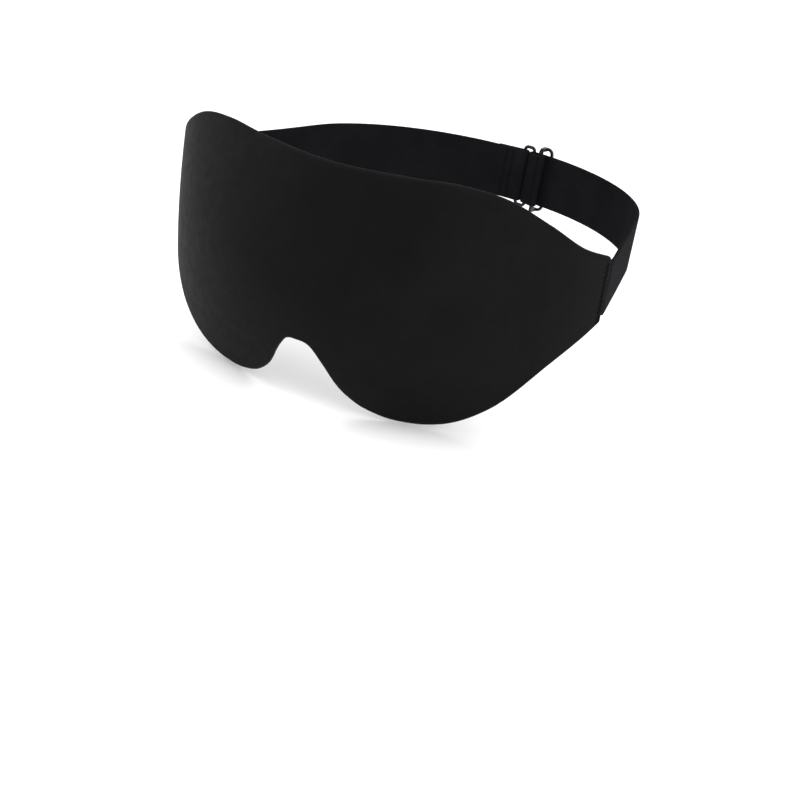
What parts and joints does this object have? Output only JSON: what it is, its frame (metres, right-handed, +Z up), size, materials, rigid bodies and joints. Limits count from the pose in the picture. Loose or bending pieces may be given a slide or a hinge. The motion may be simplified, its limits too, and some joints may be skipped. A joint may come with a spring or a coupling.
{
  "type": "sleep eye mask",
  "caption": "Contoured blackout sleep mask with moulded eye bowls, a nose relief and an adjustable elastic head strap with ring and slider.",
  "frame": {"origin": "middle of the front cover's outer face, on the flat mask's centreline, where the mask meets the bridge of the wearer's nose", "axes": "+X across the face to the wearer's left, +Y from the brow to the back of the head, +Z up"},
  "size_m": [0.1806, 0.1983, 0.0961],
  "materials": {
    "satin_cover": "smooth black satin-finish knit",
    "stiffener": "thin dark foam sheet",
    "pad_foam": "moulded dark foam",
    "lining_knit": "fine black knit, slight sheen",
    "cup_knit": "matte black mesh knit",
    "webbing": "ribbed black elastic",
    "hardware": "gloss black moulded plastic",
    "thread": "black polyester thread"
  },
  "bodies": {
    "mask": {"front_cover": "satin_cover", "front_panel": "stiffener", "foam_pad": "pad_foam", "face_lining": "lining_knit", "cup_floor_left": "cup_knit", "cup_floor_right": "cup_knit", "strap_end_left": "webbing", "strap_end_right": "webbing", "tab_stitching_left": "thread", "tab_stitching_right": "thread"},
    "strap": {"strap_left": "webbing", "strap_right": "webbing", "strap_return": "webbing", "ring": "hardware", "ring_loop_stitching": "thread"},
    "slider": {"slider": "hardware", "slider_loop": "webbing", "slider_loop_stitching": "thread"}
  },
  "joints": [
    {"name": "strap_tilt", "type": "hinge", "parent": "mask", "child": "strap", "pos_m": [0, 0.07, 0.0098], "axis": [1, 0, 0], "range_deg": [-15, 20], "stiffness_Nm_per_rad": 0.4, "deforming": ["strap_end_left", "strap_end_right"]},
    {"name": "slider_slide", "type": "hinge", "parent": "strap", "child": "slider", "pos_m": [0, 0.11812, 0.00559], "axis": [0, -0.0872, -0.9962], "range_deg": [0, 55], "deforming": ["strap_return"]}
  ]
}
